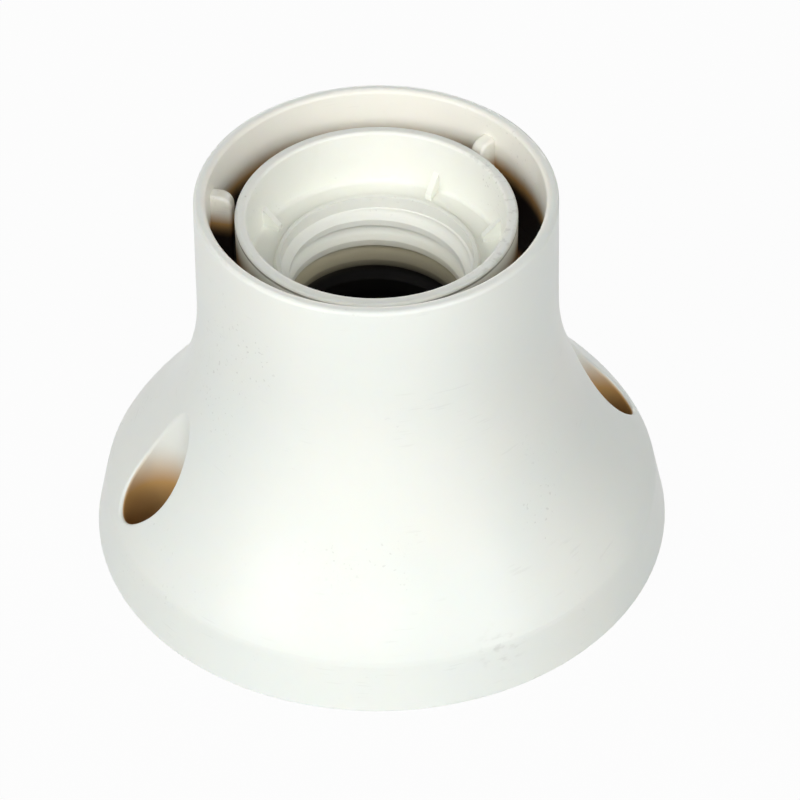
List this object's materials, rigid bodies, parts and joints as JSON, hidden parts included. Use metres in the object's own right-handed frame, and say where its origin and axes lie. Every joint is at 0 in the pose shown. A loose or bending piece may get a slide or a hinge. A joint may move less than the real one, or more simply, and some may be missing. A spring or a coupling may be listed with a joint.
{
  "type": "lamp holder",
  "caption": "Surface-mounted white plastic lamp holder with a bell-shaped shell, side screw wells and a recessed Edison screw socket.",
  "frame": {"origin": "centre of the base, on the plane that lies against the ceiling or wall", "axes": "+Z out of the base along the lamp's axis, +X through the two screw wells"},
  "size_m": [0.0828, 0.0828, 0.0587],
  "materials": {
    "shell": "gloss",
    "sleeve": "satin",
    "block": "satin",
    "bronze": "satin",
    "brass": "satin",
    "plated_steel": "satin"
  },
  "bodies": {
    "holder": {"outer_shell": "shell", "thread_sleeve": "sleeve", "contact_block": "block", "centre_contact_leaf": "bronze", "side_contact_leaf": "bronze", "centre_terminal_plate": "brass", "side_terminal_plate": "brass", "centre_rivet": "brass", "side_rivet": "brass", "block_screws": "plated_steel", "shell_screws": "plated_steel"},
    "centre_stud": {"centre_contact_stud": "brass"},
    "centre_clamp_a": {"centre_clamp_plate_a": "plated_steel"},
    "centre_screw_a": {"centre_terminal_screw_a": "plated_steel"},
    "centre_clamp_b": {"centre_clamp_plate_b": "plated_steel"},
    "centre_screw_b": {"centre_terminal_screw_b": "plated_steel"},
    "side_clamp_a": {"side_clamp_plate_a": "plated_steel"},
    "side_screw_a": {"side_terminal_screw_a": "plated_steel"},
    "side_clamp_b": {"side_clamp_plate_b": "plated_steel"},
    "side_screw_b": {"side_terminal_screw_b": "plated_steel"}
  },
  "joints": [
    {"name": "contact_press", "type": "slide", "parent": "holder", "child": "centre_stud", "axis": [0, 0, -1], "range_m": [0, 0.0018], "stiffness_N_per_m": 2500, "deforming": ["centre_contact_leaf"]},
    {"name": "centre_clamp_a_slide", "type": "slide", "parent": "holder", "child": "centre_clamp_a", "axis": [0, 0, -1], "range_m": [0, 0.0015]},
    {"name": "centre_screw_a_turn", "type": "hinge", "parent": "centre_clamp_a", "child": "centre_screw_a", "pos_m": [-0.0142, 0.0049, 0.0128], "axis": [0, 0, -1], "range_deg": [0, 1080]},
    {"name": "centre_clamp_b_slide", "type": "slide", "parent": "holder", "child": "centre_clamp_b", "axis": [0, 0, -1], "range_m": [0, 0.0015]},
    {"name": "centre_screw_b_turn", "type": "hinge", "parent": "centre_clamp_b", "child": "centre_screw_b", "pos_m": [-0.0142, -0.0049, 0.0128], "axis": [0, 0, -1], "range_deg": [0, 1080]},
    {"name": "side_clamp_a_slide", "type": "slide", "parent": "holder", "child": "side_clamp_a", "axis": [0, 0, -1], "range_m": [0, 0.0015]},
    {"name": "side_screw_a_turn", "type": "hinge", "parent": "side_clamp_a", "child": "side_screw_a", "pos_m": [0.0142, 0.0049, 0.0128], "axis": [0, 0, -1], "range_deg": [0, 1080]},
    {"name": "side_clamp_b_slide", "type": "slide", "parent": "holder", "child": "side_clamp_b", "axis": [0, 0, -1], "range_m": [0, 0.0015]},
    {"name": "side_screw_b_turn", "type": "hinge", "parent": "side_clamp_b", "child": "side_screw_b", "pos_m": [0.0142, -0.0049, 0.0128], "axis": [0, 0, -1], "range_deg": [0, 1080]}
  ],
  "couplings": [
    {"joint": "centre_screw_a_turn", "follows": "centre_clamp_a_slide", "rad_per_m": 12566},
    {"joint": "centre_screw_b_turn", "follows": "centre_clamp_b_slide", "rad_per_m": 12566},
    {"joint": "side_screw_a_turn", "follows": "side_clamp_a_slide", "rad_per_m": 12566},
    {"joint": "side_screw_b_turn", "follows": "side_clamp_b_slide", "rad_per_m": 12566}
  ]
}
